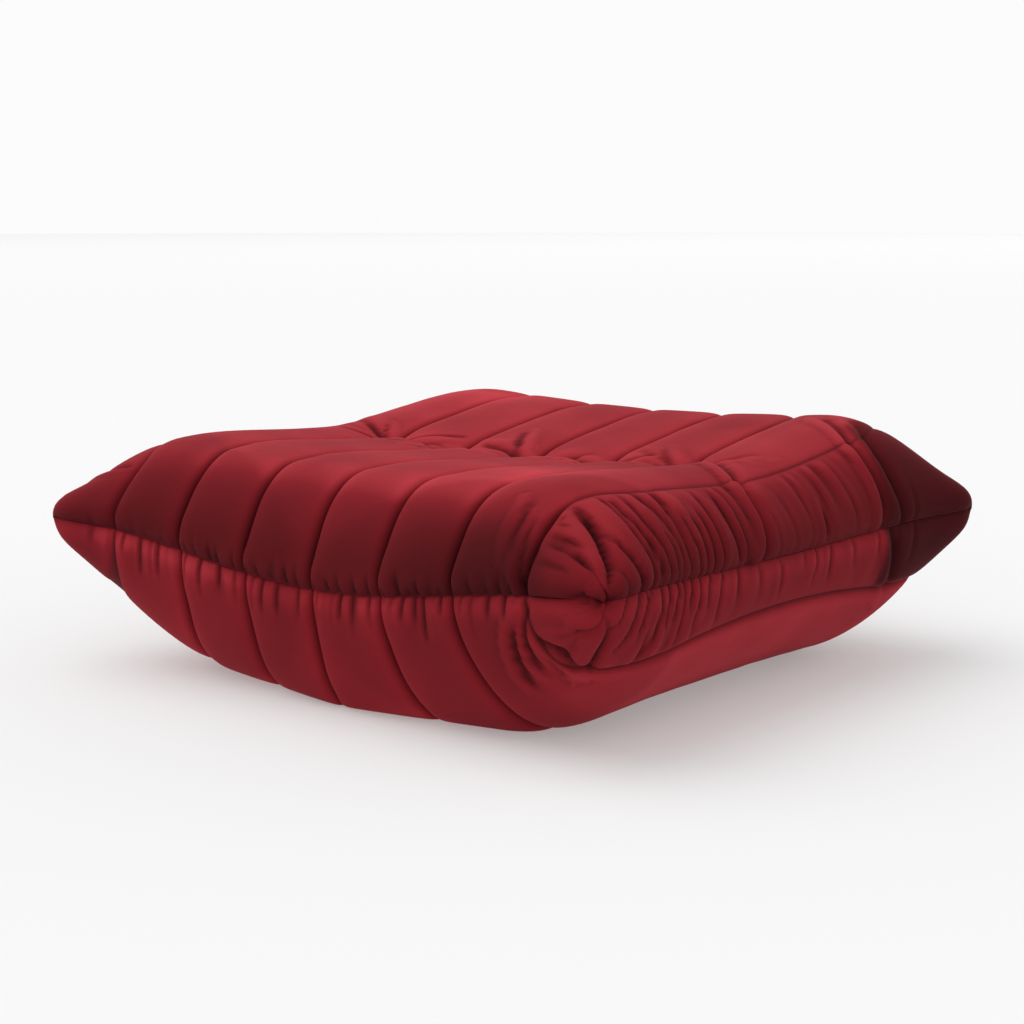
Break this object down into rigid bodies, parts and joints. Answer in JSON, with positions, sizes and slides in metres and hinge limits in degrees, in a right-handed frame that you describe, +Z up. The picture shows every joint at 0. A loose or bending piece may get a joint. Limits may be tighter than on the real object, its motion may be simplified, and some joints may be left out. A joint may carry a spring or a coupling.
{
  "type": "floor cushion",
  "caption": "Low square floor cushion: a thick foam-filled pillow in channel-quilted velvet, with pinched corner ears, a tufted middle and a zipped base cloth.",
  "frame": {"origin": "on the floor under the middle of the cushion's box", "axes": "+X across the channels to the right, -Y towards the front, +Z up; the channels run along Y"},
  "size_m": [0.868, 0.798, 0.3077],
  "materials": {
    "velvet": "short-pile velvet, soft sheen",
    "wadding": "lofted polyester fibre",
    "soft_foam": "open-cell foam, soft",
    "core_foam": "open-cell foam, medium",
    "bolster_foam": "open-cell foam, medium",
    "firm_foam": "open-cell foam, firm",
    "fibre": "loose polyester fibre",
    "twine": "waxed twine",
    "anchor_plastic": "matte moulded plastic",
    "base_cloth": "plain dark non-slip cloth",
    "zip_tape": "woven tape",
    "zip_coil": "nylon coil, satin",
    "zip_metal": "dark nickel-plated metal"
  },
  "bodies": {
    "cushion": {"upper_cover": "velvet", "lower_cover": "velvet", "upper_quilt_wadding": "wadding", "lower_quilt_wadding": "wadding", "seat_foam": "soft_foam", "core_foam": "core_foam", "front_bolster": "bolster_foam", "rear_bolster": "bolster_foam", "base_foam": "firm_foam", "corner_fill_front_left": "fibre", "corner_fill_front_right": "fibre", "corner_fill_rear_left": "fibre", "corner_fill_rear_right": "fibre", "tuft_twine_1": "twine", "tuft_twine_2": "twine", "tuft_twine_3": "twine", "tuft_twine_4": "twine", "tuft_twine_5": "twine", "tuft_anchor_1": "anchor_plastic", "tuft_anchor_2": "anchor_plastic", "tuft_anchor_3": "anchor_plastic", "tuft_anchor_4": "anchor_plastic", "tuft_anchor_5": "anchor_plastic", "base_cloth_left": "base_cloth", "base_cloth_right": "base_cloth", "zip_tape_left": "zip_tape", "zip_tape_right": "zip_tape", "zip_coil_left": "zip_coil", "zip_coil_right": "zip_coil", "zip_stop_front": "zip_metal", "zip_stop_rear": "zip_metal"},
    "slider": {"zip_slider": "zip_metal"},
    "pull_tab": {"zip_pull_tab": "zip_metal"}
  },
  "joints": [
    {"name": "zip_slide", "type": "slide", "parent": "cushion", "child": "slider", "axis": [0, -1, 0], "range_m": [0, 0.387]},
    {"name": "pull_tab_hinge", "type": "hinge", "parent": "slider", "child": "pull_tab", "pos_m": [0, 0.1935, 0.0078], "axis": [1, 0, 0], "range_deg": [0, 170]}
  ]
}
